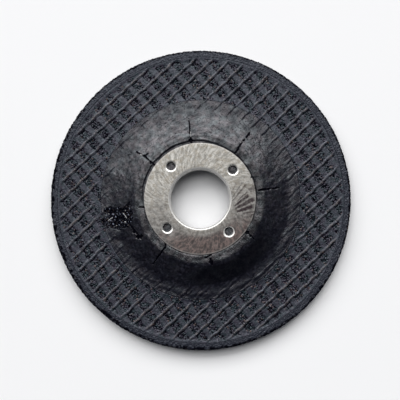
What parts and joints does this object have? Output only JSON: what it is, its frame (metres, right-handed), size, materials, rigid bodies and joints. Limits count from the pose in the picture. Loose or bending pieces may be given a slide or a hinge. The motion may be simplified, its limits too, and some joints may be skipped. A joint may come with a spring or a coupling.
{
  "type": "grinding disc",
  "caption": "Depressed-centre grinding disc for an angle grinder: resin-bonded wheel with woven mesh in its back, slit cloth patch on the raised hub and a steel ring lining the bore.",
  "frame": {"origin": "on the wheel's axis, in the plane of the working face that it lies on", "axes": "+Z along the bore axis, from the working face towards the raised hub and the grinder; +X and +Y in the plane of the wheel, with the mesh's warp cords about 43 degrees from +X"},
  "size_m": [0.115, 0.115, 0.0113],
  "materials": {
    "abrasive": "matte",
    "glass_mesh": "satin",
    "patch_cloth": "satin",
    "ring_steel": "satin"
  },
  "bodies": {
    "root": {"abrasive_wheel": "abrasive", "back_mesh": "glass_mesh", "hub_patch": "patch_cloth", "hub_ring": "ring_steel"}
  },
  "joints": []
}
